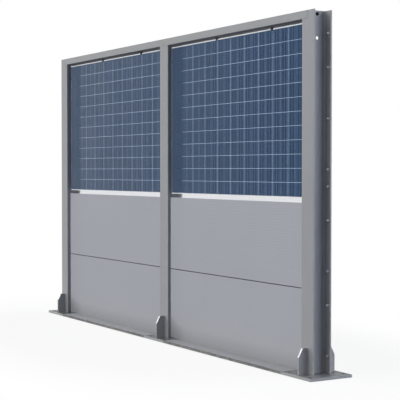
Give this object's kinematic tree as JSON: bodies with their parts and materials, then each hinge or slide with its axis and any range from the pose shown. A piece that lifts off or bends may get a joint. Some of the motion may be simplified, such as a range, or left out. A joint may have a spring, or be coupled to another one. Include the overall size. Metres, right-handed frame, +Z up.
{
  "type": "highway noise barrier",
  "caption": "Post-and-panel roadside noise barrier: steel H-section posts on gusseted base plates, sound-absorbing cassettes below, solar panes above under a steel top rail.",
  "frame": {"origin": "centre of the underside of the middle post's base plate", "axes": "+X along the barrier to the right when seen from the road side, +Y to the rear, +Z up"},
  "size_m": [7.028, 0.56, 4],
  "materials": {
    "post_steel": "satin grey paint",
    "rail_steel": "satin grey paint",
    "bright_aluminium": "bright drawn aluminium",
    "clip_steel": "dull zinc",
    "solar_glass": "blue cells under smooth glass",
    "cassette": "matt grey coated sheet",
    "ledge_steel": "satin grey paint",
    "seal_rubber": "matt dark rubber"
  },
  "bodies": {
    "root": {"post_left": "post_steel", "base_plate_left": "post_steel", "gusset_front_left": "post_steel", "gusset_rear_left": "post_steel", "post_middle": "post_steel", "base_plate_middle": "post_steel", "gusset_front_middle": "post_steel", "gusset_rear_middle": "post_steel", "post_right": "post_steel", "base_plate_right": "post_steel", "gusset_front_right": "post_steel", "gusset_rear_right": "post_steel", "rail_cover_left": "rail_steel", "rail_box_left": "rail_steel", "bar_top_left": "bright_aluminium", "bar_bottom_left": "bright_aluminium", "clips_left": "clip_steel", "solar_pane_left": "solar_glass", "shell_lower_left": "cassette", "shell_upper_left": "cassette", "front_lower_left": "cassette", "front_upper_left": "cassette", "ledge_left": "ledge_steel", "ledge_seal_left": "seal_rubber", "rail_cover_right": "rail_steel", "rail_box_right": "rail_steel", "bar_top_right": "bright_aluminium", "bar_bottom_right": "bright_aluminium", "clips_right": "clip_steel", "solar_pane_right": "solar_glass", "shell_lower_right": "cassette", "shell_upper_right": "cassette", "front_lower_right": "cassette", "front_upper_right": "cassette", "ledge_right": "ledge_steel", "ledge_seal_right": "seal_rubber"}
  },
  "joints": []
}
